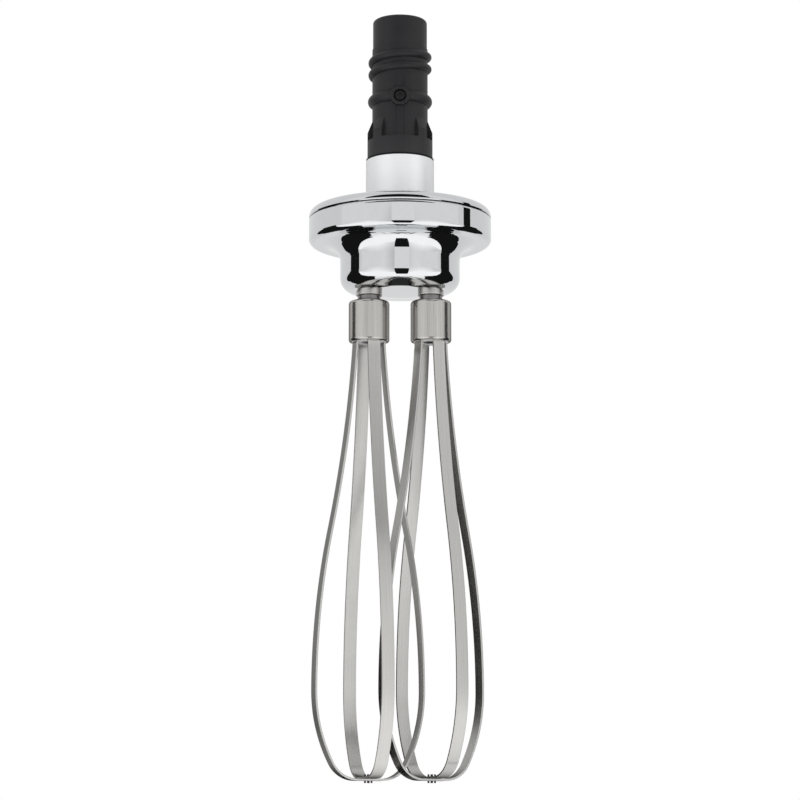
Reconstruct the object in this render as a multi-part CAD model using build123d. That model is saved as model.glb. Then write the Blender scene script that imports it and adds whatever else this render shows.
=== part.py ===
from build123d import *
import math
import os

# Geared twin whisk for a stick blender, hung as it is used: a moulded coupling on a turned neck,
# a plated gear housing, and two strip whisks that turn against each other.
# Millimetres, +Z up. The origin is on the drive axis, at the root of the coupling's plain spigot.

# Coupling
spigot_radius = 11.95
spigot_length = 13.4
spigot_rounding = 1.4
coupling_radius = 12.25
coupling_bore = 9.5
ridge_pitch = 5.5
ridge_turns = 2.0
ridge_section = 1.75
ridge_radius = 14.0
collar_drop = 23.7
collar_height = 5.0
collar_radius = 14.2
boss_drop = 24.25
boss_radius = 4.3
boss_reach = 14.3
boss_recess_radius = 2.85
boss_recess_depth = 2.3
rib_width = 3.0
rib_reach = 12.6
rib_rise = 5.6
gusset_drop = 32.8
gusset_knee_drop = 38.1
gusset_sweep = 21.0
gusset_angles = (-45.0, 0.0, 45.0, 135.0, 180.0, 225.0)
skirt_drop = 42.0
skirt_radius = 14.35
skirt_height = 8.7
gasket_radius = 14.9
gasket_height = 0.7
rounding = 0.5

# Neck and its bearings
neck_radius = 15.0
neck_length = 22.0
neck_rounding = 0.4
neck_groove_rise = 5.7
neck_groove = 0.35
neck_spigot_top = 18.0
neck_spigot_bore = 7.5
lid_spigot_radius = 13.0
bearing_radius = 11.0
bearing_bore = 4.0
bearing_width = 7.0
bearing_shoulder = 2.0
race_wall = 1.6
ball_radius = 1.7
ball_count = 7
ball_clearance = 0.3
cage_wall = 1.0
cage_height = 1.6
spacer_length = 5.5
spacer_wall = 1.2
circlip_thickness = 1.0
circlip_depth = 0.6
circlip_wall = 2.0

# Drive
dog_radius = 6.5
dog_height = 18.0
dog_recess = 9.0
dog_slot_width = 3.6
dog_slot_depth = 6.0
dog_socket = 8.0
shaft_clip_radius = 5.6
seal_height = 3.6

# Lid and gear housing
flange_radius = 40.0
lid_thickness = 4.0
lid_rounding = 3.4
seam_chamfer = 0.2
rim_height = 11.5
rim_shoulder = 1.5
rim_rounding = 2.3
rim_wall = 3.5
cavity_depth = 9.3
body_radius = 26.2
body_height = 21.0
underside_width = 3.5
body_rounding = 6.0
gland_groove = 1.4
gland_inset = 2.4
cover_screw_ring = 31.5
cover_screw_angles = (30.0, 150.0, 210.0, 330.0)
cover_screw_length = 9.0
cover_boss_radius = 3.3
screw_radius = 1.5
screw_head_radius = 2.7
pan_head_radius = 2.0
screw_head_height = 1.7
slot_width = 0.8
slot_depth = 0.8
recess_share = 1.25

# Gears
pressure_angle = math.radians(25.0)
addendum = 0.8
dedendum = 1.05
tooth_thinning = 0.09
spindle_module = 1.0
spindle_teeth = 27
idler_teeth = 12
wheel_module = 0.8
wheel_teeth = 36
pinion_teeth = 10
gear_width = 4.2
wheel_width = 3.0
lid_gap = 0.5
washer_thickness = 0.6
washer_radius = 7.6
idler_pin_radius = 2.0
idler_pin_seat = 14.0
idler_pin_tail = 2.0

# Spindles, glands and ferrules
spindle_radius = 4.0
spindle_neck_radius = 5.0
bush_radius = 5.7
bush_length = 17.0
seal_case_drop = 1.8
seal_case_wall = 0.8
clip_thickness = 0.7
clip_radius = 5.6
clip_groove = 0.6
clip_mouth = 3.0
neck_gap = 2.6
ferrule_radius = 8.9
ferrule_length = 18.1
ferrule_rounding = 1.3
ferrule_roof = 4.0
ferrule_wall = 1.3
ferrule_lip = 1.0
spindle_tail = 2.0
hub_screw_radius = 2.0
hub_screw_head = 3.4
hub_screw_head_height = 3.0
hub_screw_length = 14.0
hub_socket_flats = 3.0
hub_socket_depth = 2.0

# Strip loops
strip_width = 5.7
strip_thickness = 0.9
loop_length = 189.1
root_radius = 6.3
belly_radius = 24.45
root_lean = math.radians(4.0)
flare_share = 0.637
turn_in = math.radians(28.0)
root_arc = 40.0
belly_arc = 66.0
corner_arc = 12.5
leg_length = 11.0
left_phase = 20.3
right_phase = 31.2
rivet_ring = 1.4
rivet_radius = 0.42
rivet_count = 4
rivet_turn = -26.0
rivet_head = 0.95

# Fits
running_clearance = 0.05
free_clearance = 0.3
slot_clearance = 0.1

# Levels and places that follow from the sizes
spigot_top = spigot_length
neck_top = -(skirt_drop + skirt_height)
gasket_top = neck_top + gasket_height
lid_top = neck_top - neck_length
seam = lid_top - lid_thickness
rim_bottom = seam - rim_height
body_bottom = rim_bottom - body_height
cavity_floor = seam - cavity_depth
gear_bottom = cavity_floor + washer_thickness
gear_top = gear_bottom + gear_width
wheel_top = seam - lid_gap
wheel_bottom = wheel_top - wheel_width
seal_bottom = body_bottom - seal_case_drop
ferrule_top = seal_bottom - neck_gap
ferrule_bottom = ferrule_top - ferrule_length
ferrule_bore = ferrule_radius - ferrule_wall
core_top = ferrule_top - ferrule_roof
spindle_top = gear_top + clip_thickness + slot_clearance
upper_bearing_top = neck_top - bearing_shoulder
lower_bearing_top = upper_bearing_top - bearing_width - spacer_length
circlip_top = lower_bearing_top - bearing_width
gland_radius = flange_radius - gland_inset
throat_rounding = flange_radius - rim_rounding - underside_width - body_radius
race_radius = (bearing_bore + bearing_radius) / 2

spindle_pitch = spindle_module * spindle_teeth / 2
spindle_x = {"left": -spindle_pitch, "right": spindle_pitch}
phase_of = {"left": left_phase, "right": right_phase}
idler_reach = wheel_module * (wheel_teeth + pinion_teeth) / 2
idler_to_left = spindle_module * (idler_teeth + spindle_teeth) / 2
idler_x = (idler_to_left**2 - idler_reach**2 - spindle_pitch**2) / (2 * spindle_pitch)
idler_y = math.sqrt(idler_reach**2 - idler_x**2)


def disc(radius, bottom, top):
    return Pos(0, 0, bottom) * Cylinder(radius, top - bottom, align=(Align.CENTER, Align.CENTER, Align.MIN))


def tube(outer, inner, bottom, top):
    return disc(outer, bottom, top) - disc(inner, bottom, top)


def profile(outline, corners=()):
    face = make_face(Polyline(*outline, close=True))
    for radius, level, rounding_radius in corners:
        corner = face.vertices().sort_by_distance((radius, level, 0))[0]
        face = fillet(corner, rounding_radius)
    return face


def turned(outline, corners=(), sweep=360.0):
    return revolve(Plane.XZ * profile(outline, corners), Axis.Z, sweep)


def radial(shape, angle):
    # A shape drawn along +Z is laid out along the radius at this angle from +X.
    return Rot(0, 0, angle) * Rot(0, 90, 0) * shape


def cross_recessed(body, head_radius):
    slot = Box(head_radius * recess_share, slot_width, 2 * slot_depth)
    return body - slot - Rot(0, 0, 90) * slot


def screw(shank_radius, head_radius, head_height, length):
    # Pan head with its crown at Z = 0, shank downwards, cross recess in the crown.
    body = disc(head_radius, -head_height, 0) + disc(shank_radius, -length, -head_height)
    return cross_recessed(body, head_radius)


def countersunk(shank_radius, head_radius, head_height, length):
    return turned(
        [(0, 0), (head_radius, 0), (shank_radius, -head_height), (shank_radius, -length), (0, -length)]
    )


def polar(radius, angle):
    return (radius * math.cos(angle), radius * math.sin(angle))


def involute(angle):
    return math.tan(angle) - angle


def gear(teeth, module, bottom, top, phase):
    # Spur gear blank with a tooth centred at the phase angle, in degrees.
    pitch = teeth * module / 2
    base = pitch * math.cos(pressure_angle)
    tip = pitch + addendum * module
    root = pitch - dedendum * module
    start = max(base, root)
    middle = (start + tip) / 2
    half_tooth = math.pi / (2 * teeth) - tooth_thinning / (2 * pitch) + involute(pressure_angle)

    def flank_angle(radius):
        return half_tooth - involute(math.acos(min(1.0, base / radius)))

    edges = []
    for tooth in range(teeth):
        centre = math.radians(phase) + 2 * math.pi * tooth / teeth
        following = centre + 2 * math.pi / teeth
        rise = [polar(radius, centre - flank_angle(radius)) for radius in (start, middle, tip)]
        fall = [polar(radius, centre + flank_angle(radius)) for radius in (tip, middle, start)]
        foot = polar(root, centre - flank_angle(start))
        heel = polar(root, centre + flank_angle(start))
        next_foot = polar(root, following - flank_angle(start))
        if base > root:
            edges.append(Line(foot, rise[0]))
            edges.append(Line(fall[2], heel))
        edges.append(ThreePointArc(*rise))
        edges.append(Line(rise[2], fall[0]))
        edges.append(ThreePointArc(*fall))
        edges.append(Line(heel, next_foot))
    return Pos(0, 0, bottom) * extrude(make_face(edges), top - bottom)


def mesh_phase(phase, teeth, mate_teeth, direction):
    # Phase of a mate whose gap takes the tooth of a gear that lies in this direction from it.
    return direction + 180 + 180 / mate_teeth - (phase - direction) * teeth / mate_teeth


left_gear_phase = 0.0
right_gear_phase = mesh_phase(left_gear_phase, spindle_teeth, spindle_teeth, 0.0)
idler_direction = math.degrees(math.atan2(idler_y, idler_x + spindle_pitch))
idler_phase = mesh_phase(left_gear_phase, spindle_teeth, idler_teeth, idler_direction)
wheel_direction = math.degrees(math.atan2(-idler_y, -idler_x))
pinion_phase = mesh_phase(0.0, wheel_teeth, pinion_teeth, wheel_direction)
gear_phases = {"left": left_gear_phase, "right": right_gear_phase}


def coupling_body():
    body = turned(
        [(0, 0), (spigot_radius, 0), (spigot_radius, spigot_top), (0, spigot_top)],
        [(spigot_radius, spigot_top, spigot_rounding)],
    )
    body += disc(coupling_radius, -skirt_drop, 0)
    body += disc(skirt_radius, gasket_top, -skirt_drop)
    helix_radius = ridge_radius - ridge_section
    helix_drop = ridge_section + ridge_pitch * ridge_turns + slot_clearance
    helix = Helix(ridge_pitch, ridge_pitch * ridge_turns, helix_radius)
    section = Plane(helix @ 0, x_dir=(0, 0, 1), z_dir=helix % 0) * Circle(ridge_section)
    ridge = sweep(section, helix, is_frenet=True)
    body += Pos(0, 0, -helix_drop) * Rot(0, 0, 90) * ridge
    half = collar_height / 2
    collar = make_face(
        [
            ThreePointArc(
                (coupling_radius, -collar_drop - half),
                (collar_radius, -collar_drop),
                (coupling_radius, -collar_drop + half),
            ),
            Polyline(
                (coupling_radius, -collar_drop + half),
                (coupling_bore + 1, -collar_drop + half),
                (coupling_bore + 1, -collar_drop - half),
                (coupling_radius, -collar_drop - half),
            ),
        ]
    )
    body += revolve(Plane.XZ * collar, Axis.Z)
    gusset = [
        (coupling_bore + 1, -skirt_drop),
        (skirt_radius, -skirt_drop),
        (skirt_radius, -gusset_knee_drop),
        (coupling_radius, -gusset_drop),
        (coupling_bore + 1, -gusset_drop),
    ]
    for angle in gusset_angles:
        body += Rot(0, 0, angle - gusset_sweep / 2) * turned(gusset, sweep=gusset_sweep)
    for angle in (-90, 90):
        boss = fillet(disc(boss_radius, coupling_bore + 1, boss_reach).edges().sort_by(Axis.Z)[-1], rounding)
        body += Pos(0, 0, -boss_drop) * radial(boss, angle)
        rib_top = -boss_drop + boss_radius + rib_rise
        rib = Box(rib_reach, rib_width, rib_top + skirt_drop, align=(Align.MIN, Align.CENTER, Align.MAX))
        body += Rot(0, 0, angle) * Pos(0, 0, rib_top) * rib
    body -= disc(coupling_bore, gasket_top, spigot_top)
    for angle in (-90, 90):
        recess = disc(boss_recess_radius, boss_reach - boss_recess_depth, boss_reach)
        hole = disc(screw_radius, 0, boss_reach)
        body -= Pos(0, 0, -boss_drop) * radial(recess + hole, angle)
    return body


def neck_gasket():
    return tube(gasket_radius, coupling_bore, neck_top, gasket_top)


def coupling_screws():
    crown = boss_reach - boss_recess_depth + screw_head_height
    length = crown - neck_spigot_bore - slot_clearance
    shape = Pos(0, 0, crown) * screw(screw_radius, pan_head_radius, screw_head_height, length)
    return Compound([Pos(0, 0, -boss_drop) * radial(shape, angle) for angle in (-90, 90)])


def neck_sleeve():
    shoulder = upper_bearing_top
    body = turned(
        [
            (neck_spigot_bore, shoulder),
            (neck_spigot_bore, -neck_spigot_top),
            (coupling_bore, -neck_spigot_top),
            (coupling_bore, neck_top),
            (neck_radius, neck_top),
            (neck_radius, lid_top),
            (lid_spigot_radius, lid_top),
            (lid_spigot_radius, seam),
            (bearing_radius, seam),
            (bearing_radius, shoulder),
        ],
        [(neck_radius, neck_top, neck_rounding)],
    )
    body -= disc(bearing_radius + circlip_depth, circlip_top - circlip_thickness, circlip_top)
    for angle in (-90, 90):
        body -= Pos(0, 0, -boss_drop) * radial(disc(screw_radius, 0, boss_reach), angle)
    groove = lid_top + neck_groove_rise
    return body - tube(neck_radius + 1, neck_radius - neck_groove / 2, groove, groove + neck_groove)


def outer_race(top):
    groove = Pos(0, 0, top - bearing_width / 2) * Torus(race_radius, ball_radius + ball_clearance)
    return tube(bearing_radius, bearing_radius - race_wall, top - bearing_width, top) - groove


def inner_race(top):
    groove = Pos(0, 0, top - bearing_width / 2) * Torus(race_radius, ball_radius + ball_clearance)
    return tube(bearing_bore + race_wall, bearing_bore, top - bearing_width, top) - groove


def ball_cage(top):
    middle = top - bearing_width / 2
    ring = Pos(0, 0, middle) * tube(
        race_radius + cage_wall / 2, race_radius - cage_wall / 2, -cage_height / 2, cage_height / 2
    )
    for ball in range(ball_count):
        ring += Rot(0, 0, 360 * ball / ball_count) * Pos(race_radius, 0, middle) * Sphere(ball_radius)
    return ring


def bearing_spacer():
    top = upper_bearing_top - bearing_width
    return tube(bearing_radius, bearing_radius - spacer_wall, top - spacer_length, top)


def bearing_circlip():
    outer = bearing_radius + circlip_depth
    ring = tube(outer, outer - circlip_wall, circlip_top - circlip_thickness, circlip_top)
    mouth = Box(outer, clip_mouth, circlip_thickness, align=(Align.MIN, Align.CENTER, Align.MAX))
    return ring - Pos(0, 0, circlip_top) * mouth


def input_shaft():
    dog_bottom = spigot_top - dog_recess - dog_height
    collar_bottom = seam - slot_clearance
    body = disc(bearing_bore, collar_bottom, dog_bottom + dog_height / 2)
    body += disc(bearing_bore + race_wall / 2, collar_bottom, circlip_top)
    body += gear(pinion_teeth, wheel_module, wheel_bottom - slot_clearance, collar_bottom, pinion_phase)
    groove = upper_bearing_top + clip_thickness
    return body - tube(bearing_bore + 1, bearing_bore - clip_groove, upper_bearing_top, groove)


def open_clip(outer, inner, bottom, top):
    mouth = Box(outer, clip_mouth, top - bottom, align=(Align.MIN, Align.CENTER, Align.MIN))
    return tube(outer, inner, bottom, top) - Pos(0, 0, bottom) * mouth


def shaft_clip():
    top = upper_bearing_top + clip_thickness
    return open_clip(shaft_clip_radius, bearing_bore - clip_groove, upper_bearing_top, top)


def drive_dog():
    top = spigot_top - dog_recess
    bottom = top - dog_height
    body = chamfer(disc(dog_radius, bottom, top).edges().sort_by(Axis.Z)[-1], rounding)
    body -= disc(bearing_bore, bottom, bottom + dog_height / 2)
    slot = Pos(0, 0, top) * Box(2 * dog_radius, dog_slot_width, 2 * dog_slot_depth)
    socket = extrude(Pos(0, 0, top) * RegularPolygon(dog_socket / 2, 6, major_radius=False), -dog_slot_depth)
    return body - slot - Rot(0, 0, 90) * slot - socket


def input_seal():
    top = -neck_spigot_top
    return tube(neck_spigot_bore, bearing_bore + running_clearance, top - seal_height, top)


def top_cover():
    body = turned(
        [
            (lid_spigot_radius, seam),
            (flange_radius - seam_chamfer, seam),
            (flange_radius, seam + seam_chamfer),
            (flange_radius, lid_top),
            (lid_spigot_radius, lid_top),
        ],
        [(flange_radius, lid_top, lid_rounding)],
    )
    body -= Pos(idler_x, idler_y) * disc(idler_pin_radius, seam, seam + idler_pin_tail)
    return body - cover_holes()


def cover_ring(shape):
    placed = Pos(cover_screw_ring, 0, lid_top) * shape
    return Compound([Rot(0, 0, angle) * placed for angle in cover_screw_angles])


def cover_holes():
    return cover_ring(countersunk(screw_radius, screw_head_radius, screw_head_height, cover_screw_length))


def cover_screws():
    shape = countersunk(screw_radius, screw_head_radius, screw_head_height, cover_screw_length)
    return cover_ring(cross_recessed(shape, screw_head_radius))


def gear_housing():
    body = turned(
        [
            (0, seam),
            (flange_radius, seam),
            (flange_radius, rim_bottom),
            (body_radius, rim_bottom),
            (body_radius, body_bottom),
            (0, body_bottom),
        ],
        [
            (flange_radius, seam, rim_shoulder),
            (flange_radius, rim_bottom, rim_rounding),
            (body_radius, rim_bottom, throat_rounding),
            (body_radius, body_bottom, body_rounding),
        ],
    )
    body -= disc(flange_radius - rim_wall, cavity_floor, seam)
    for angle in cover_screw_angles:
        boss = Pos(cover_screw_ring, 0) * disc(cover_boss_radius, cavity_floor, seam)
        web = Pos(cover_screw_ring, 0, cavity_floor) * Box(
            flange_radius - rim_wall / 2 - cover_screw_ring,
            2 * cover_boss_radius,
            cavity_depth,
            align=(Align.MIN, Align.CENTER, Align.MIN),
        )
        body += Rot(0, 0, angle) * (boss + web)
    half_groove = gland_groove / 2
    body -= tube(gland_radius + half_groove, gland_radius - half_groove, seam - gland_groove, seam)
    for x in spindle_x.values():
        body -= Pos(x, 0) * disc(bush_radius, body_bottom, cavity_floor)
    body -= Pos(idler_x, idler_y) * disc(idler_pin_radius, cavity_floor - idler_pin_seat, cavity_floor)
    return body - cover_holes()


def cover_seal():
    section = gland_groove / 2
    return Pos(0, 0, seam - section) * Torus(gland_radius, section)


def idler_gear():
    wheel = gear(wheel_teeth, wheel_module, wheel_bottom, wheel_top, 0.0)
    pinion = gear(idler_teeth, spindle_module, gear_bottom, wheel_bottom, idler_phase)
    return Pos(idler_x, idler_y) * (
        wheel + pinion - disc(idler_pin_radius + running_clearance, gear_bottom, wheel_top)
    )


def idler_pin():
    bottom = cavity_floor - idler_pin_seat
    return Pos(idler_x, idler_y) * disc(idler_pin_radius, bottom, seam + idler_pin_tail)


def idler_washer():
    outer = (idler_teeth * spindle_module) / 2 - dedendum * spindle_module
    return Pos(idler_x, idler_y) * tube(outer, idler_pin_radius, cavity_floor, gear_bottom)


def spindle(side):
    shoulder = seal_bottom - free_clearance
    body = disc(spindle_radius, core_top - spindle_tail, spindle_top)
    body += disc(spindle_neck_radius, ferrule_top, shoulder)
    body -= tube(spindle_radius + 1, spindle_radius - clip_groove, gear_top, gear_top + clip_thickness)
    body -= disc(hub_screw_radius, core_top - spindle_tail, ferrule_bottom + hub_screw_length)
    return Pos(spindle_x[side], 0) * body


def spindle_gear(side):
    blank = gear(spindle_teeth, spindle_module, gear_bottom, gear_top, gear_phases[side])
    return Pos(spindle_x[side], 0) * (blank - disc(spindle_radius, gear_bottom, gear_top))


def spindle_clip(side):
    clip = open_clip(clip_radius, spindle_radius - clip_groove, gear_top, gear_top + clip_thickness)
    return Pos(spindle_x[side], 0) * clip


def thrust_washer(side):
    inner = spindle_radius + running_clearance
    return Pos(spindle_x[side], 0) * tube(washer_radius, inner, cavity_floor, gear_bottom)


def spindle_bush(side):
    inner = spindle_radius + running_clearance
    return Pos(spindle_x[side], 0) * tube(bush_radius, inner, cavity_floor - bush_length, cavity_floor)


def seal_case(side):
    top = cavity_floor - bush_length
    inner = spindle_radius + free_clearance
    case = tube(bush_radius, inner, seal_bottom, top)
    pocket = disc(bush_radius - seal_case_wall, seal_bottom + seal_case_wall, top)
    return Pos(spindle_x[side], 0) * (case - pocket)


def seal_lip(side):
    top = cavity_floor - bush_length
    bottom = seal_bottom + seal_case_wall
    lip = tube(bush_radius - seal_case_wall, spindle_radius + running_clearance, bottom, top)
    return Pos(spindle_x[side], 0) * lip


def ferrule(side):
    body = turned(
        [
            (spindle_radius, ferrule_top),
            (ferrule_radius, ferrule_top),
            (ferrule_radius, ferrule_bottom),
            (ferrule_bore, ferrule_bottom),
            (ferrule_bore, core_top),
            (spindle_radius, core_top),
        ],
        [
            (ferrule_radius, ferrule_top, ferrule_rounding),
            (ferrule_radius, ferrule_bottom, ferrule_lip),
        ],
    )
    return Pos(spindle_x[side], 0) * body


def core(side, phase):
    body = disc(ferrule_bore, ferrule_bottom, core_top)
    body -= disc(spindle_radius, core_top - spindle_tail, core_top)
    body -= disc(hub_screw_radius, ferrule_bottom, core_top)
    body -= disc(hub_screw_head, ferrule_bottom, ferrule_bottom + hub_screw_head_height)
    slot = Pos(root_radius, 0, ferrule_bottom) * Box(
        strip_thickness + 2 * slot_clearance,
        strip_width + 2 * slot_clearance,
        leg_length,
        align=(Align.CENTER, Align.CENTER, Align.MIN),
    )
    for quarter in range(4):
        body -= Rot(0, 0, phase + 90 * quarter) * slot
    return Pos(spindle_x[side], 0) * body


def hub_screw(side):
    body = disc(hub_screw_head, ferrule_bottom, ferrule_bottom + hub_screw_head_height)
    body += disc(hub_screw_radius, ferrule_bottom, ferrule_bottom + hub_screw_length)
    socket = Pos(0, 0, ferrule_bottom) * RegularPolygon(hub_socket_flats / 2, 6, major_radius=False)
    return Pos(spindle_x[side], 0) * (body - extrude(socket, hub_socket_depth))


def loop_arcs(length):
    # Radius and end angle of each arc of a strip's middle line, from the ferrule to the flat tip.
    # The flare and shoulder arcs stand in a set share, and are solved to meet the belly and the length.
    reach = belly_radius - root_radius - root_arc * (1 - math.cos(root_lean))
    drop = length - root_arc * math.sin(root_lean)
    drop -= belly_arc * math.sin(turn_in) + corner_arc * (1 - math.sin(turn_in))
    slope = math.atan2(reach, drop)
    rest = 1 - flare_share
    chord = flare_share * math.cos(root_lean - slope) + rest * math.cos(slope)
    flare_lean = slope + math.acos(chord)
    arcs = drop / (math.sin(flare_lean) - flare_share * math.sin(root_lean))
    flare_arc = flare_share * arcs
    shoulder_arc = rest * arcs
    return [
        (root_arc, root_lean),
        (flare_arc, flare_lean),
        (-shoulder_arc, 0.0),
        (-belly_arc, -turn_in),
        (-corner_arc, -math.pi / 2),
    ]


def strip_side(length, offset):
    # Edges of one face of a half loop, at this distance outside the strip's middle line.
    x, z, lean = root_radius, ferrule_bottom, 0.0
    edges = [Line((x + offset, z + leg_length), (x + offset, z))]
    for radius, end_lean in loop_arcs(length):
        points = []
        for angle in (lean, (lean + end_lean) / 2, end_lean):
            middle_x = x + radius * (math.cos(lean) - math.cos(angle))
            middle_z = z - radius * (math.sin(angle) - math.sin(lean))
            points.append((middle_x + offset * math.cos(angle), middle_z + offset * math.sin(angle)))
        edges.append(ThreePointArc(*points))
        x = middle_x
        z = middle_z
        lean = end_lean
    edges.append(Line((x, z - offset), (0, z - offset)))
    return edges


def strip_loop(side, length, phase):
    half = strip_thickness / 2
    top = ferrule_bottom + leg_length
    edges = strip_side(length, half) + strip_side(length, -half)
    edges.append(Line((root_radius + half, top), (root_radius - half, top)))
    edges.append(Line((0, ferrule_bottom - length - half), (0, ferrule_bottom - length + half)))
    band = extrude(Plane.XZ * make_face(edges), strip_width / 2, both=True)
    loop = Rot(0, 0, phase) * (band + Rot(0, 0, 180) * band)
    bottom = ferrule_bottom - length - strip_thickness
    loop -= rivet_set(phase_of[side], rivet_radius, bottom, bottom + 2 * strip_thickness)
    return Pos(spindle_x[side], 0) * loop


def rivet_set(phase, radius, bottom, top):
    pin = Pos(rivet_ring, 0) * disc(radius, bottom, top)
    return Compound([Rot(0, 0, phase + rivet_turn + 360 * i / rivet_count) * pin for i in range(rivet_count)])


def tip_rivets(side):
    tip = ferrule_bottom - loop_length - strip_thickness / 2
    pins = rivet_set(phase_of[side], rivet_radius, tip - rivet_head, tip + 2 * strip_thickness + rivet_head)
    return Pos(spindle_x[side], 0) * pins


parts = {
    "coupling_body": coupling_body(),
    "coupling_screws": coupling_screws(),
    "neck_gasket": neck_gasket(),
    "neck_sleeve": neck_sleeve(),
    "upper_outer_race": outer_race(upper_bearing_top),
    "upper_inner_race": inner_race(upper_bearing_top),
    "upper_ball_cage": ball_cage(upper_bearing_top),
    "lower_outer_race": outer_race(lower_bearing_top),
    "lower_inner_race": inner_race(lower_bearing_top),
    "lower_ball_cage": ball_cage(lower_bearing_top),
    "bearing_spacer": bearing_spacer(),
    "bearing_circlip": bearing_circlip(),
    "input_shaft": input_shaft(),
    "shaft_clip": shaft_clip(),
    "drive_dog": drive_dog(),
    "input_seal": input_seal(),
    "top_cover": top_cover(),
    "cover_screws": cover_screws(),
    "cover_seal": cover_seal(),
    "gear_housing": gear_housing(),
    "idler_gear": idler_gear(),
    "idler_pin": idler_pin(),
    "idler_washer": idler_washer(),
}
for side, phase in phase_of.items():
    parts[side + "_spindle"] = spindle(side)
    parts[side + "_spindle_gear"] = spindle_gear(side)
    parts[side + "_spindle_clip"] = spindle_clip(side)
    parts[side + "_thrust_washer"] = thrust_washer(side)
    parts[side + "_spindle_bush"] = spindle_bush(side)
    parts[side + "_seal_case"] = seal_case(side)
    parts[side + "_seal_lip"] = seal_lip(side)
    parts[side + "_ferrule"] = ferrule(side)
    parts[side + "_core"] = core(side, phase)
    parts[side + "_hub_screw"] = hub_screw(side)
    parts[side + "_outer_loop"] = strip_loop(side, loop_length, phase)
    parts[side + "_inner_loop"] = strip_loop(side, loop_length - strip_thickness, phase + 90)
    parts[side + "_tip_rivets"] = tip_rivets(side)

os.makedirs("parts", exist_ok=True)
for name, shape in parts.items():
    export_step(shape, f"parts/{name}.step")
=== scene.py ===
import math

import bpy
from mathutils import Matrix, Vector


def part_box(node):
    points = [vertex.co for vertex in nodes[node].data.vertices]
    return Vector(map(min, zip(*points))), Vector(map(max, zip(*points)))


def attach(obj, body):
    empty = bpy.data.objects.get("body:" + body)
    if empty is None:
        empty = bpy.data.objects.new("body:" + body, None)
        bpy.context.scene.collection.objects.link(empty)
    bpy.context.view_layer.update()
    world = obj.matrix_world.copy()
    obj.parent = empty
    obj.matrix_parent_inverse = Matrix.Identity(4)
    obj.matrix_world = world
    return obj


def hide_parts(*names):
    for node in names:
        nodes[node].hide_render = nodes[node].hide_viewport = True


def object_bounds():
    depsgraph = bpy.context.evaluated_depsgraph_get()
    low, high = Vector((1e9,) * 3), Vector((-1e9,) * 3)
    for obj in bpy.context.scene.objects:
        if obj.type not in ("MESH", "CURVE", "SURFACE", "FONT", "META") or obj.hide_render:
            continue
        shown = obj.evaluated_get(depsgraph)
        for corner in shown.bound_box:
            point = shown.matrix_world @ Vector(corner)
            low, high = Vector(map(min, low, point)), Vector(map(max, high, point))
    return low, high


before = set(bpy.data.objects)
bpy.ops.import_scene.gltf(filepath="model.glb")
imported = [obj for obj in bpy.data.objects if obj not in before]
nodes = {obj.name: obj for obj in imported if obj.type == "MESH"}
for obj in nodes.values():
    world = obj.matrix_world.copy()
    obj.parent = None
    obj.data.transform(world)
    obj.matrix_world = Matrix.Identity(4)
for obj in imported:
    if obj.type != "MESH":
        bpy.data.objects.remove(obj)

mm = 0.001
patchBase = 0.5  # keeps a metal's roughness off the low end of its range
scene = bpy.context.scene
packedBounds = [list(corner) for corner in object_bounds()]
sides = ("left", "right")

# Places taken from the frame
ferruleBox = {side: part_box(side + "_ferrule") for side in sides}
spindleX = {side: (ferruleBox[side][0].x + ferruleBox[side][1].x) / 2 for side in sides}
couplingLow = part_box("coupling_body")[0].z
partMiddle = (Vector(packedBounds[0]) + Vector(packedBounds[1])) / 2
print("frame", len(nodes), "nodes")


# Shader helpers
def newGroup(name, sockets):
    group = bpy.data.node_groups.new(name, "ShaderNodeTree")
    for label, direction, kind, value in sockets:
        socket = group.interface.new_socket(label, in_out=direction, socket_type="NodeSocket" + kind)
        if value is not None:
            socket.default_value = value
    return group, group.nodes.new("NodeGroupInput").outputs, group.nodes.new("NodeGroupOutput").inputs


def addNode(tree, kind, inputs=(), **settings):
    node = tree.nodes.new(kind)
    for setting, value in settings.items():
        setattr(node, setting, value)
    for key, value in dict(inputs).items():
        if isinstance(value, bpy.types.NodeSocket):
            tree.links.new(value, node.inputs[key])
        else:
            node.inputs[key].default_value = value
    return node


def ranged(tree, source, low, high, start=0.0, end=1.0, curve="LINEAR"):
    inputs = {"Value": source, "From Min": start, "From Max": end, "To Min": low, "To Max": high}
    return addNode(tree, "ShaderNodeMapRange", inputs, interpolation_type=curve).outputs["Result"]


def mathValue(tree, operation, *numbers):
    return addNode(tree, "ShaderNodeMath", dict(enumerate(numbers)), operation=operation).outputs[0]


def vectorNode(tree, operation, *vectors):
    return addNode(tree, "ShaderNodeVectorMath", dict(enumerate(vectors)), operation=operation)


def blended(tree, factor, first, second):
    return addNode(tree, "ShaderNodeMix", {0: factor, 6: first, 7: second}, data_type="RGBA").outputs[2]


def opaque(color):
    return (*color, 1.0)


# Fine lines left by a tool, drawn out by the stretch of each axis
toolLines, given, made = newGroup("toolLines", (
    ("Coordinates", "INPUT", "Vector", None),
    ("Stretch", "INPUT", "Vector", (1, 1, 1)),
    ("Lines", "OUTPUT", "Float", None),
))
spread = vectorNode(toolLines, "MULTIPLY", given["Coordinates"], given["Stretch"]).outputs[0]
noise = addNode(toolLines, "ShaderNodeTexNoise", {
    "Vector": spread, "Scale": 1.0, "Detail": 3.0, "Roughness": 0.65,
})
toolLines.links.new(ranged(toolLines, noise.outputs["Fac"], 0.0, 1.0, 0.3, 0.7), made["Lines"])

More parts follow.
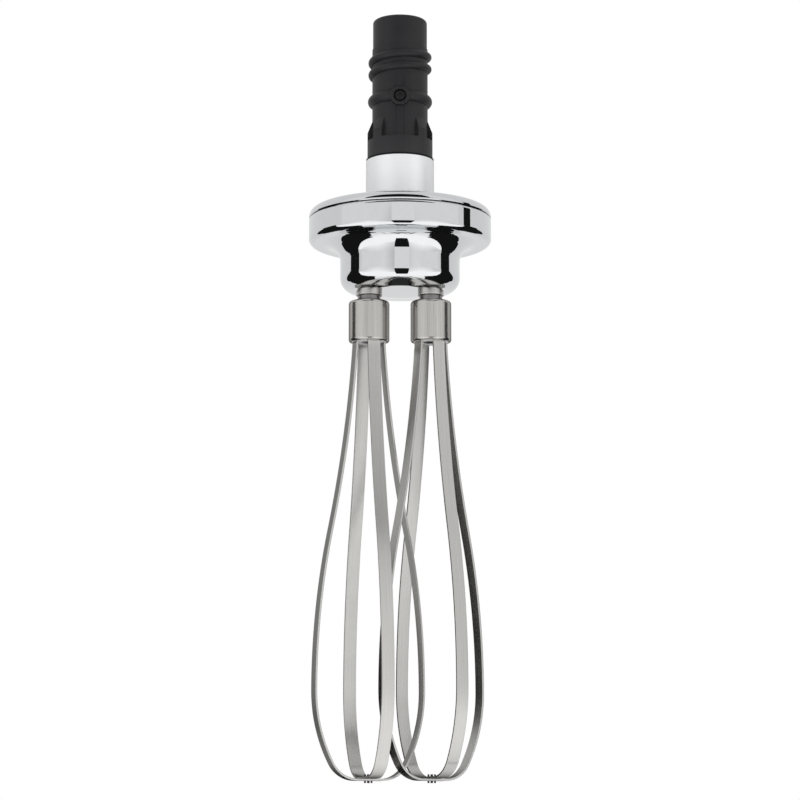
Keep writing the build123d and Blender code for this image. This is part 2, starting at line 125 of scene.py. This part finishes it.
# Broad soft patches from handling
softPatches, given, made = newGroup("softPatches", (
    ("Coordinates", "INPUT", "Vector", None),
    ("Scale", "INPUT", "Float", 40.0),
    ("Patches", "OUTPUT", "Float", None),
))
noise = addNode(softPatches, "ShaderNodeTexNoise", {
    "Vector": given["Coordinates"], "Scale": given["Scale"],
    "Detail": 2.0, "Roughness": 0.5, "Distortion": 0.6,
})
softPatches.links.new(ranged(softPatches, noise.outputs["Fac"], 0.0, 1.0, 0.35, 0.65), made["Patches"])

# Spark-eroded grain of a moulding
mouldGrain, given, made = newGroup("mouldGrain", (
    ("Coordinates", "INPUT", "Vector", None),
    ("Scale", "INPUT", "Float", 2500.0),
    ("Grain", "OUTPUT", "Float", None),
))
scaled = {"Vector": given["Coordinates"], "Scale": given["Scale"]}
pits = addNode(mouldGrain, "ShaderNodeTexVoronoi", scaled)
noise = addNode(mouldGrain, "ShaderNodeTexNoise", {**scaled, "Detail": 2.0})
both = mathValue(mouldGrain, "MULTIPLY", pits.outputs["Distance"], noise.outputs["Fac"])
mouldGrain.links.new(both, made["Grain"])

# Angle round an upright axis and height along it, for turned and upright lines
roundAxis, given, made = newGroup("roundAxis", (
    ("Coordinates", "INPUT", "Vector", None),
    ("Axis", "INPUT", "Vector", (0, 0, 0)),
    ("Turned", "OUTPUT", "Vector", None),
))
offset = vectorNode(roundAxis, "SUBTRACT", given["Coordinates"], given["Axis"]).outputs[0]
flat = vectorNode(roundAxis, "MULTIPLY", offset, (1, 1, 0)).outputs[0]
away = vectorNode(roundAxis, "NORMALIZE", flat).outputs[0]
circle = vectorNode(roundAxis, "MULTIPLY", away, (10 * mm, 10 * mm, 0)).outputs[0]  # same at every radius
level = addNode(roundAxis, "ShaderNodeSeparateXYZ", {0: circle}).outputs
height = addNode(roundAxis, "ShaderNodeSeparateXYZ", {0: offset}).outputs["Z"]
turned = addNode(roundAxis, "ShaderNodeCombineXYZ", {"X": level["X"], "Y": level["Y"], "Z": height})
roundAxis.links.new(turned.outputs[0], made["Turned"])


def groupValue(tree, group, inputs, output):
    return addNode(tree, "ShaderNodeGroup", inputs, node_tree=group).outputs[output]


def newMaterial(name, constants):
    material = bpy.data.materials.new(name)
    material.use_nodes = True
    tree = material.node_tree
    shader = tree.nodes["Principled BSDF"]
    for key, value in constants.items():
        shader.inputs[key].default_value = value
    return material, tree, shader


def objectCoordinates(tree):
    return addNode(tree, "ShaderNodeTexCoord").outputs["Object"]


def metalMaterial(name, values):
    material, tree, shader = newMaterial(name, {
        "Metallic": values.get("metallic", 1.0), "Specular Tint": opaque(values.get("edgeTint", (1, 1, 1))),
    })
    if "attribute" in values:  # a place along a swept strip
        ground = addNode(tree, "ShaderNodeAttribute", attribute_name=values["attribute"]).outputs["Vector"]
    else:
        ground = objectCoordinates(tree)
    place = ground
    if "axis" in values:
        place = groupValue(tree, roundAxis, {"Coordinates": ground, "Axis": values["axis"]}, "Turned")
    lines = groupValue(tree, toolLines, {"Coordinates": place, "Stretch": values["stretch"]}, "Lines")
    patches = groupValue(tree, softPatches, {"Coordinates": ground, "Scale": values["patchScale"]}, "Patches")
    color = blended(tree, lines, opaque(values["dark"]), opaque(values["light"]))
    tree.links.new(color, shader.inputs["Base Color"])
    mixed = mathValue(tree, "MULTIPLY_ADD", lines, patches, patchBase)
    tree.links.new(ranged(tree, mixed, *values["rough"], 0.0, 1.0 + patchBase), shader.inputs["Roughness"])
    bump = addNode(tree, "ShaderNodeBump", {
        "Height": lines, "Strength": values["bump"], "Distance": values["depth"],
    })
    if "dome" in values:  # the underside swells gently inside its rounded edge
        flat = vectorNode(tree, "MULTIPLY", ground, (1, 1, 0)).outputs[0]
        radius = vectorNode(tree, "LENGTH", flat).outputs["Value"]
        swell = ranged(tree, radius, *values["dome"]["swell"], "SMOOTHSTEP")
        shoulder = ranged(tree, radius, *values["dome"]["shoulder"], "SMOOTHSTEP")
        height = mathValue(tree, "ADD", swell, shoulder)
        dome = addNode(tree, "ShaderNodeBump", {"Height": height, "Strength": 1.0, "Distance": 1.0})
        tree.links.new(dome.outputs["Normal"], bump.inputs["Normal"])
    tree.links.new(bump.outputs["Normal"], shader.inputs["Normal"])
    return material


def mouldedMaterial(name, values):
    material, tree, shader = newMaterial(name, {"Specular IOR Level": values["sheen"]})
    place = objectCoordinates(tree)
    grain = groupValue(tree, mouldGrain, {"Coordinates": place, "Scale": values["grainScale"]}, "Grain")
    patches = groupValue(tree, softPatches, {"Coordinates": place, "Scale": values["patchScale"]}, "Patches")
    color = blended(tree, patches, opaque(values["dark"]), opaque(values["light"]))
    if "pale" in values:  # painted bounce light: paler towards the lower end, as if lit from below
        height = addNode(tree, "ShaderNodeSeparateXYZ", {0: place}).outputs["Z"]
        color = blended(tree, ranged(tree, height, 1.0, 0.0, *values["paintedLightSpan"]), color, opaque(values["pale"]))
    tree.links.new(color, shader.inputs["Base Color"])
    tree.links.new(ranged(tree, patches, *values["rough"]), shader.inputs["Roughness"])
    bump = addNode(tree, "ShaderNodeBump", {
        "Height": grain, "Strength": values["bump"], "Distance": values["depth"],
    })
    tree.links.new(bump.outputs["Normal"], shader.inputs["Normal"])
    return material


# Finishes of the CAD nodes, by material slot or by the last word of a node's name
blackPlastic = {
    "dark": (0.0105, 0.0105, 0.0118), "light": (0.0135, 0.0135, 0.015), "rough": (0.48, 0.58), "sheen": 0.3,
    "grainScale": 2600.0, "patchScale": 60.0, "bump": 0.25, "depth": 0.05 * mm,
    # painted bounce light: a paler colour over the lowest 12 mm of the coupling
    "pale": (0.021, 0.021, 0.0225), "paintedLightSpan": (couplingLow, couplingLow + 12.0 * mm),
}
sealRubber = {
    "dark": (0.004, 0.004, 0.004), "light": (0.007, 0.007, 0.007), "rough": (0.6, 0.75), "sheen": 0.12,
    "grainScale": 3500.0, "patchScale": 200.0, "bump": 0.2, "depth": 0.03 * mm,
}
chromePlate = {
    "dark": (0.635, 0.645, 0.655), "light": (0.655, 0.665, 0.675), "rough": (0.02, 0.045),
    "stretch": (300, 300, 300), "patchScale": 35.0, "bump": 0.015, "depth": 0.01 * mm,
}
bodyPlate = {**chromePlate, "dome": {
    "swell": (1.7 * mm, 0.0, 12.0 * mm, 22.2 * mm),
    "shoulder": (0.0, 0.5 * mm, 22.2 * mm, 25.8 * mm),
}}
satinNeck = {
    "dark": (0.78, 0.79, 0.80), "light": (0.81, 0.82, 0.83), "rough": (0.34, 0.40), "metallic": 0.35,
    "axis": (0, 0, 0), "stretch": (25, 25, 5200), "patchScale": 60.0, "bump": 0.03, "depth": 0.01 * mm,
    "edgeTint": (0.6, 0.6, 0.6),
}
blackOxide = {
    "dark": (0.035, 0.035, 0.037), "light": (0.06, 0.06, 0.062), "rough": (0.32, 0.45),
    "stretch": (2000, 2000, 2000), "patchScale": 300.0, "bump": 0.1, "depth": 0.01 * mm,
}
darkScrew = {
    "dark": (0.08, 0.08, 0.082), "light": (0.14, 0.14, 0.142), "rough": (0.3, 0.42),
    "stretch": (1800, 1800, 1800), "patchScale": 300.0, "bump": 0.1, "depth": 0.01 * mm,
}
plainSteel = {
    "dark": (0.62, 0.62, 0.615), "light": (0.74, 0.74, 0.735), "rough": (0.24, 0.34),
    "stretch": (250, 250, 5200), "patchScale": 120.0, "bump": 0.06, "depth": 0.015 * mm,
}
pressedCase = {
    "dark": (0.54, 0.53, 0.515), "light": (0.66, 0.65, 0.635), "rough": (0.36, 0.46),
    "stretch": (60, 60, 3200), "patchScale": 150.0, "bump": 0.05, "depth": 0.015 * mm,
}
castCore = {
    "dark": (0.84, 0.84, 0.83), "light": (0.92, 0.92, 0.91), "rough": (0.5, 0.62), "metallic": 0.4,
    "stretch": (900, 900, 900), "patchScale": 200.0, "bump": 0.08, "depth": 0.02 * mm,
}
tipRivet = {
    "dark": (0.05, 0.05, 0.05), "light": (0.10, 0.10, 0.10), "rough": (0.3, 0.42),
    "stretch": (2500, 2500, 2500), "patchScale": 400.0, "bump": 0.08, "depth": 0.01 * mm,
}
# a darker steel for the spindles, with turned lines
darkSpindle = {
    "dark": (0.17, 0.165, 0.16), "light": (0.30, 0.29, 0.28), "rough": (0.24, 0.34),
    "stretch": (60, 60, 4200), "patchScale": 120.0, "bump": 0.12, "depth": 0.02 * mm,
}
bearingSteel = {
    "dark": (0.55, 0.55, 0.56), "light": (0.63, 0.63, 0.64), "rough": (0.12, 0.2),
    "stretch": (250, 250, 4000), "patchScale": 120.0, "bump": 0.05, "depth": 0.01 * mm,
}
gearSteel = {
    "dark": (0.30, 0.295, 0.285), "light": (0.42, 0.415, 0.40), "rough": (0.24, 0.38),
    "stretch": (900, 900, 2600), "patchScale": 140.0, "bump": 0.1, "depth": 0.015 * mm,
}
springSteel = {
    "dark": (0.16, 0.16, 0.17), "light": (0.24, 0.24, 0.25), "rough": (0.3, 0.42),
    "stretch": (1500, 1500, 1500), "patchScale": 150.0, "bump": 0.08, "depth": 0.01 * mm,
}
bushBronze = {
    "dark": (0.42, 0.27, 0.13), "light": (0.56, 0.38, 0.20), "rough": (0.32, 0.48),
    "stretch": (1200, 1200, 3000), "patchScale": 150.0, "bump": 0.12, "depth": 0.015 * mm,
}
ferruleSteel = {
    "dark": (0.45, 0.44, 0.42), "light": (0.56, 0.55, 0.53), "rough": (0.18, 0.26),
    "stretch": (3200, 3200, 22), "patchScale": 70.0, "bump": 0.06, "depth": 0.02 * mm,
    "edgeTint": (0.25, 0.25, 0.25),
}

finishes = {
    "black_plastic": mouldedMaterial("blackPlastic", blackPlastic),
    "rubber": mouldedMaterial("sealRubber", sealRubber),
    "chrome": metalMaterial("chromePlate", chromePlate),
    "housing": metalMaterial("bodyPlate", bodyPlate),
    "satin_steel": metalMaterial("satinNeck", satinNeck),
    "black_screw": metalMaterial("blackOxide", blackOxide),
    "dark_screw": metalMaterial("darkScrew", darkScrew),
    "plain_steel": metalMaterial("plainSteel", plainSteel),
    "spindle": metalMaterial("darkSpindle", darkSpindle),
    "case": metalMaterial("pressedCase", pressedCase),
    "core": metalMaterial("castCore", castCore),
    "rivets": metalMaterial("tipRivet", tipRivet),
    "bearing_steel": metalMaterial("bearingSteel", bearingSteel),
    "gear_steel": metalMaterial("gearSteel", gearSteel),
    "spring_steel": metalMaterial("springSteel", springSteel),
    "bronze": metalMaterial("bushBronze", bushBronze),
}
for node in nodes.values():
    slot = node.data.materials[0].name.split(".")[0]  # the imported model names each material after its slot
    finish = finishes.get(node.name.split("_")[-1]) or finishes.get(slot)
    if finish:
        node.data.materials[0] = finish
for side in sides:
    material = metalMaterial(side + "FerruleSteel", {**ferruleSteel, "axis": (spindleX[side], 0, 0)})
    nodes[side + "_ferrule"].data.materials[0] = material
print("finishes", len(finishes))


# Strip loops: a rounded strip swept along arcs from one leg to the other
stripLoop = {
    "width": 5.7 * mm, "thickness": 0.9 * mm, "edge": 0.16 * mm,
    "legLength": 11.0 * mm, "rootRadius": 6.3 * mm, "bellyRadius": 24.45 * mm,
    "rootLean": math.radians(4.0), "flareShare": 0.637, "turnIn": math.radians(28.0),
    "rootArc": 40.0 * mm, "bellyArc": 66.0 * mm, "cornerArc": 12.5 * mm,
    "step": math.radians(1.5), "longest": 2.0 * mm, "edgeSteps": 3,
    "crease": 0.12,  # radians, past which an edge stays sharp
    "phase": {"left": math.radians(20.3), "right": math.radians(31.2)},
}


def loopArcs(length):
    s = stripLoop
    reach = s["bellyRadius"] - s["rootRadius"] - s["rootArc"] * (1 - math.cos(s["rootLean"]))
    drop = length - s["rootArc"] * math.sin(s["rootLean"])
    drop -= s["bellyArc"] * math.sin(s["turnIn"]) + s["cornerArc"] * (1 - math.sin(s["turnIn"]))
    slope = math.atan2(reach, drop)
    rest = 1 - s["flareShare"]
    flareLean = slope + math.acos(s["flareShare"] * math.cos(s["rootLean"] - slope) + rest * math.cos(slope))
    arcs = drop / (math.sin(flareLean) - s["flareShare"] * math.sin(s["rootLean"]))
    return (
        (s["rootArc"], s["rootLean"]),
        (s["flareShare"] * arcs, flareLean),
        (-rest * arcs, 0.0),
        (-s["bellyArc"], -s["turnIn"]),
        (-s["cornerArc"], -math.pi / 2),
    )


def halfPath(length, top):
    x, z, lean = stripLoop["rootRadius"], top, 0.0
    points = [(x, z + stripLoop["legLength"]), (x, z)]
    for radius, endLean in loopArcs(length):
        sweep = endLean - lean
        count = math.ceil(max(abs(sweep) / stripLoop["step"], abs(radius * sweep) / stripLoop["longest"]))
        for i in range(1, count + 1):
            angle = lean + sweep * i / count
            out = radius * (math.cos(lean) - math.cos(angle))
            down = radius * (math.sin(angle) - math.sin(lean))
            points.append((x + out, z - down))
        x, z = points[-1]
        lean = endLean
    return points


def newShapeTree(name, inputs):
    tree = bpy.data.node_groups.new(name, "GeometryNodeTree")
    tree.interface.new_socket("Geometry", in_out="INPUT", socket_type="NodeSocketGeometry")
    for label, kind in inputs:
        tree.interface.new_socket(label, in_out="INPUT", socket_type="NodeSocket" + kind)
    tree.interface.new_socket("Geometry", in_out="OUTPUT", socket_type="NodeSocketGeometry")
    return tree, tree.nodes.new("NodeGroupInput").outputs, tree.nodes.new("NodeGroupOutput").inputs


stripTree, given, made = newShapeTree("stripSweep", (
    ("Width", "Float"), ("Thickness", "Float"), ("Edge", "Float"),
    ("Turn", "Float"), ("Place", "Vector"), ("Material", "Material"),
))
section = addNode(stripTree, "GeometryNodeCurvePrimitiveQuadrilateral", {
    "Width": given["Width"], "Height": given["Thickness"],
})
rounded = addNode(stripTree, "GeometryNodeFilletCurve", {
    "Curve": section.outputs[0], "Radius": given["Edge"], "Count": stripLoop["edgeSteps"],
}, mode="POLY")
sectionPlace = addNode(stripTree, "GeometryNodeInputPosition")
across = addNode(stripTree, "GeometryNodeCaptureAttribute", {"Geometry": rounded.outputs[0]}, domain="POINT")
across.capture_items.new("VECTOR", "Across")
stripTree.links.new(sectionPlace.outputs[0], across.inputs["Across"])
upright = addNode(stripTree, "GeometryNodeSetCurveNormal", {
    "Curve": given["Geometry"], "Normal": (0, 1, 0),
}, mode="FREE")
parameter = addNode(stripTree, "GeometryNodeSplineParameter")
along = addNode(stripTree, "GeometryNodeCaptureAttribute", {"Geometry": upright.outputs[0]}, domain="POINT")
along.capture_items.new("FLOAT", "Along")
stripTree.links.new(parameter.outputs["Length"], along.inputs["Along"])
sweep = addNode(stripTree, "GeometryNodeCurveToMesh", {
    "Curve": along.outputs["Geometry"], "Profile Curve": across.outputs["Geometry"], "Fill Caps": True,
})
joined = addNode(stripTree, "ShaderNodeSeparateXYZ", {0: across.outputs["Across"]})
lengthwise = addNode(stripTree, "ShaderNodeCombineXYZ", {
    "X": joined.outputs["X"], "Y": joined.outputs["Y"], "Z": along.outputs["Along"],
})
stored = addNode(stripTree, "GeometryNodeStoreNamedAttribute", {
    "Geometry": sweep.outputs[0], "Name": "stripPlace", "Value": lengthwise.outputs[0],  # the finish reads it
}, data_type="FLOAT_VECTOR", domain="POINT")
smooth = addNode(stripTree, "GeometryNodeSetShadeSmooth", {
    "Geometry": stored.outputs[0], "Shade Smooth": True,
})
corner = addNode(stripTree, "GeometryNodeInputMeshEdgeAngle")
sharp = addNode(stripTree, "FunctionNodeCompare", {
    0: corner.outputs["Unsigned Angle"], 1: stripLoop["crease"],
}, operation="GREATER_THAN")
creased = addNode(stripTree, "GeometryNodeSetShadeSmooth", {
    "Geometry": smooth.outputs[0], "Selection": sharp.outputs[0], "Shade Smooth": False,
}, domain="EDGE")
turn = addNode(stripTree, "ShaderNodeCombineXYZ", {"Z": given["Turn"]})
placed = addNode(stripTree, "GeometryNodeTransform", {
    "Geometry": creased.outputs[0], "Translation": given["Place"], "Rotation": turn.outputs[0],
})
coated = addNode(stripTree, "GeometryNodeSetMaterial", {
    "Geometry": placed.outputs[0], "Material": given["Material"],
})
stripTree.links.new(coated.outputs[0], made["Geometry"])


def builtPiece(name, source, tree, inputs):
    modifier = source.modifiers.new("shape", "NODES")
    modifier.node_group = tree
    identifiers = {item.name: item.identifier for item in tree.interface.items_tree if item.in_out == "INPUT"}
    for label, value in inputs.items():
        modifier[identifiers[label]] = value
    bpy.context.view_layer.update()
    mesh = bpy.data.meshes.new_from_object(source.evaluated_get(bpy.context.evaluated_depsgraph_get()))
    mesh.name = name
    piece = bpy.data.objects.new(name, mesh)
    scene.collection.objects.link(piece)
    source.modifiers.remove(modifier)
    bpy.data.objects.remove(source)
    return piece


def pathObject(name, points):
    curve = bpy.data.curves.new(name, "CURVE")
    curve.dimensions = "3D"
    spline = curve.splines.new("POLY")
    spline.points.add(len(points) - 1)
    for point, place in zip(spline.points, points):
        point.co = (*place, 1.0)
    path = bpy.data.objects.new(name, curve)
    scene.collection.objects.link(path)
    return path


stripFinish = {
    "dark": (0.47, 0.465, 0.452), "light": (0.545, 0.54, 0.525), "rough": (0.20, 0.28),
    "stretch": (4200, 4200, 30), "bump": 0.05, "depth": 0.015 * mm, "patchScale": 60.0,
    "attribute": "stripPlace", "edgeTint": (0.15, 0.15, 0.15),
}
stripSteel = metalMaterial("stripSteel", stripFinish)

for side in sides:
    ferruleBottom = ferruleBox[side][0].z
    for loop, quarter in (("outer", 0.0), ("inner", math.pi / 2)):
        node = f"{side}_{loop}_loop"
        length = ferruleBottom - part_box(node)[0].z - stripLoop["thickness"] / 2
        half = halfPath(length, ferruleBottom)
        path = [(-x, 0, z) for x, z in half] + [(x, 0, z) for x, z in reversed(half)]
        piece = builtPiece(f"{side}{loop.title()}Strip", pathObject(node + "Path", path), stripTree, {
            "Width": stripLoop["width"], "Thickness": stripLoop["thickness"], "Edge": stripLoop["edge"],
            "Turn": stripLoop["phase"][side] + quarter, "Place": (spindleX[side], 0, 0),
            "Material": stripSteel,
        })
        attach(piece, side + "_whisk")
        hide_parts(node)
print("strips built")


# Studio: pale floor, soft lamps, and cards that only the polished metal sees
studio = {
    "floor": -0.6, "floorReach": 6.0, "floorSides": 96,
    "floorPaint": (0.86, 0.86, 0.86), "floorPale": 0.85,
    "floorShine": (1.35, 0.86), "floorFade": (-0.1, 0.3),  # from front to back
    "worldLight": 0.55, "worldShine": 0.86,
    "lamps": {  # place, size, power
        "keyLamp": ((-0.9, -1.4, 0.15), 0.8, 10.0),
        "fillLamp": ((1.2, -1.1, -0.05), 1.0, 7.0),
        "bounceLamp": ((0, -0.45, -0.58), 0.7, 3.0),
    },
    "camera": (0, -1.207, -0.3576), "pitch": 9.43, "lens": 126.675, "sensor": 36.0,
}


def stagePlane(name, corners, material):
    mesh = bpy.data.meshes.new(name)
    mesh.from_pydata(corners, [], [range(len(corners))])
    mesh.materials.append(material)
    plane = bpy.data.objects.new(name, mesh)
    scene.collection.objects.link(plane)
    return plane


floorPaint, tree, shader = newMaterial("floorPaint", {
    "Roughness": 0.9, "Specular IOR Level": 0.0, "Emission Color": (1, 1, 1, 1),
})
rays = addNode(tree, "ShaderNodeLightPath").outputs
glossy = rays["Is Glossy Ray"]  # polished metal sees a floor lit from the front
behind = addNode(tree, "ShaderNodeSeparateXYZ", {0: objectCoordinates(tree)}).outputs["Y"]
shine = mathValue(tree, "MULTIPLY", glossy, ranged(tree, behind, *studio["floorShine"], *studio["floorFade"]))
pale = ranged(tree, rays["Is Camera Ray"], 0.0, studio["floorPale"])  # the camera sees it pale
paint = blended(tree, mathValue(tree, "ADD", glossy, pale), opaque(studio["floorPaint"]), (0, 0, 0, 1))
tree.links.new(paint, shader.inputs["Base Color"])
tree.links.new(mathValue(tree, "ADD", shine, pale), shader.inputs["Emission Strength"])
below = addNode(tree, "ShaderNodeNewGeometry").outputs["Backfacing"]  # open to views from below
seeThrough = addNode(tree, "ShaderNodeBsdfTransparent")
cover = addNode(tree, "ShaderNodeMixShader", {0: below, 1: shader.outputs[0], 2: seeThrough.outputs[0]})
tree.links.new(cover.outputs[0], tree.nodes["Material Output"].inputs["Surface"])
ring = [2 * math.pi * i / studio["floorSides"] for i in range(studio["floorSides"])]
reach, level = studio["floorReach"], studio["floor"]
stagePlane("floor", [(reach * math.cos(a), reach * math.sin(a), level) for a in ring], floorPaint)

cards = {  # outlines are (y, z) on flags and the post, (x, y) on lying cards and (x, z) on the others
    "half": 3.0,  # the widest card, each side of the middle
    "gainLow": -0.6, "gainHigh": 0.0,  # heights between which the glow changes
    "dark": ((-1.0, 0.01), (1.0, 0.01)),  # shades at places across
    "soft": ((-1.0, 0.03), (1.0, 0.03)),
    "light": ((-1.0, 0.97), (1.0, 0.97)),
    "flagX": 0.35,
    "flag": (
        (-0.048, -0.6), (0.36, -0.6), (0.36, -0.33), (0.22, -0.15), (0.11, -0.06),
        (0.10, -0.016), (-0.048, -0.016),
    ),
    "post": ((-0.045, -0.02), (0.028, -0.02), (0.028, 0.05), (-0.045, 0.05)),
    "stripY": -0.62,
    "lowStrip": ((-0.111, -0.6), (0.195, -0.6), (0.195, -0.17), (-0.111, -0.17)),
    "highStrip": ((-0.111, -0.17), (0.195, -0.17), (0.195, 0.4), (-0.111, 0.4)),
    "wallY": -0.64,
    "wall": ((-3.0, -0.6), (3.0, -0.6), (3.0, 1.0), (-3.0, 1.0)),
    "wallShades": (
        (-3.0, 0.86), (-1.5, 0.9), (-0.95, 1.0), (-0.6, 1.04), (-0.38, 0.98), (-0.22, 0.84), (-0.12, 0.72),
        (0.2, 0.86), (0.3, 0.96), (0.48, 1.04), (0.75, 1.02), (1.25, 0.92), (1.7, 0.82), (3.0, 0.82),
    ),
    "wallGain": 1.35, "wallPlain": (0.95, 0.052, 0.074),
    "floorLift": 2 * mm,
    "sideFloor": ((0.27, -0.048), (0.35, -0.048), (0.35, 0.36), (0.27, 0.25)),
    "rearFloor": (
        (0.04, 2.3), (0.06, 1.12), (0.085, 0.68), (0.11, 0.48), (0.14, 0.32), (0.19, 0.16), (0.24, 0.04),
        (0.30, 0.04), (0.36, 0.24), (0.7, 0.5), (0.7, 0.66), (0.46, 0.66), (0.34, 0.68), (0.25, 0.73),
        (0.19, 0.75), (0.145, 0.95), (0.10, 1.36), (0.066, 2.3),
    ),
    "frontFloor": ((-0.052, -0.3), (0.098, -0.3), (0.195, -0.62), (-0.111, -0.62)),
    "rearZ": -0.33,
    "rear": ((-0.03, 0.02), (0.03, 0.02), (0.08, 0.42), (-0.08, 0.42)),
    "archY": -0.60,
    "arch": ((-0.62, 0.23), (-0.3, 0.13), (0.3, 0.13), (0.62, 0.23), (0.35, 0.7), (0.0, 0.85), (-0.35, 0.7)),
}


def glossyCard(name, corners, shades, lowGain=1.0, plain=None):
    material = bpy.data.materials.new(name)
    material.use_nodes = True
    tree = material.node_tree
    tree.nodes.remove(tree.nodes["Principled BSDF"])
    place = addNode(tree, "ShaderNodeSeparateXYZ", {0: objectCoordinates(tree)}).outputs
    across = ranged(tree, place["X"], 0.0, 1.0, -cards["half"], cards["half"])
    ramp = addNode(tree, "ShaderNodeValToRGB", {"Fac": across})
    stops = ramp.color_ramp.elements
    while len(stops) < len(shades):
        stops.new(0.5)
    for stop, (x, shade) in zip(stops, shades):
        stop.position = 0.5 + x / cards["half"] / 2
        stop.color = (shade, shade, shade, 1)
    color = ramp.outputs["Color"]
    if plain:  # one shade above a height
        shade, low, high = plain
        color = blended(tree, ranged(tree, place["Z"], 0.0, 1.0, low, high), color, (shade, shade, shade, 1))
    gain = ranged(tree, place["Z"], lowGain, 1.0, cards["gainLow"], cards["gainHigh"])
    glow = addNode(tree, "ShaderNodeEmission", {"Color": color, "Strength": gain})
    tree.links.new(glow.outputs[0], tree.nodes["Material Output"].inputs["Surface"])
    plane = stagePlane(name, corners, material)
    plane.visible_camera = False
    plane.visible_diffuse = False
    plane.visible_shadow = False


def standing(outline, y):
    return [(x, y, z) for x, z in cards[outline]]


def sideways(outline, x):
    return [(x, y, z) for y, z in cards[outline]]


def lying(outline, z, way=1):
    return [(way * x, y, z) for x, y in cards[outline]]


lowFloor = studio["floor"] + cards["floorLift"]
highFloor = lowFloor + cards["floorLift"]
for side, way in zip(sides, (-1, 1)):
    glossyCard(side + "Flag", sideways("flag", way * cards["flagX"]), cards["dark"])
glossyCard("rightPost", sideways("post", cards["flagX"]), cards["dark"])
glossyCard("lowStrip", standing("lowStrip", cards["stripY"]), cards["dark"])
glossyCard("highStrip", standing("highStrip", cards["stripY"]), cards["light"])
wall = standing("wall", cards["wallY"])
glossyCard("frontWall", wall, cards["wallShades"], cards["wallGain"], cards["wallPlain"])
for side, way in zip(sides, (-1, 1)):
    glossyCard(side + "Floor", lying("sideFloor", lowFloor, way), cards["dark"])
    glossyCard(side + "RearFloor", lying("rearFloor", highFloor, way), cards["dark"])
glossyCard("frontFloor", lying("frontFloor", highFloor), cards["dark"])
glossyCard("rearCard", lying("rear", cards["rearZ"]), cards["soft"])
glossyCard("upperArch", standing("arch", cards["archY"]), cards["dark"])

world = bpy.data.worlds.new("studioWorld")
scene.world = world
world.use_nodes = True
tree = world.node_tree
tree.nodes.clear()
rays = addNode(tree, "ShaderNodeLightPath").outputs
clear = mathValue(tree, "MAXIMUM", rays["Is Camera Ray"], rays["Is Transmission Ray"])  # white where seen
shine = ranged(tree, rays["Is Glossy Ray"], studio["worldLight"], studio["worldShine"])
white = addNode(tree, "ShaderNodeBackground", {
    "Color": (1, 1, 1, 1), "Strength": mathValue(tree, "MAXIMUM", shine, clear),
})
addNode(tree, "ShaderNodeOutputWorld", {"Surface": white.outputs[0]})

for name, (place, size, power) in studio["lamps"].items():
    lamp = bpy.data.lights.new(name, "AREA")
    lamp.size = size
    lamp.energy = power
    holder = bpy.data.objects.new(name, lamp)
    holder.location = place
    holder.rotation_euler = (partMiddle - Vector(place)).to_track_quat("-Z", "Y").to_euler()
    holder.visible_glossy = False
    scene.collection.objects.link(holder)

camera = bpy.data.cameras.new("camera")
camera.sensor_width = studio["sensor"]
camera.lens = studio["lens"]
holder = bpy.data.objects.new("camera", camera)
holder.location = studio["camera"]
holder.rotation_euler = (math.radians(90.0 + studio["pitch"]), 0, 0)
scene.collection.objects.link(holder)
scene.camera = holder
scene.view_settings.view_transform = "Standard"
print("studio ready")
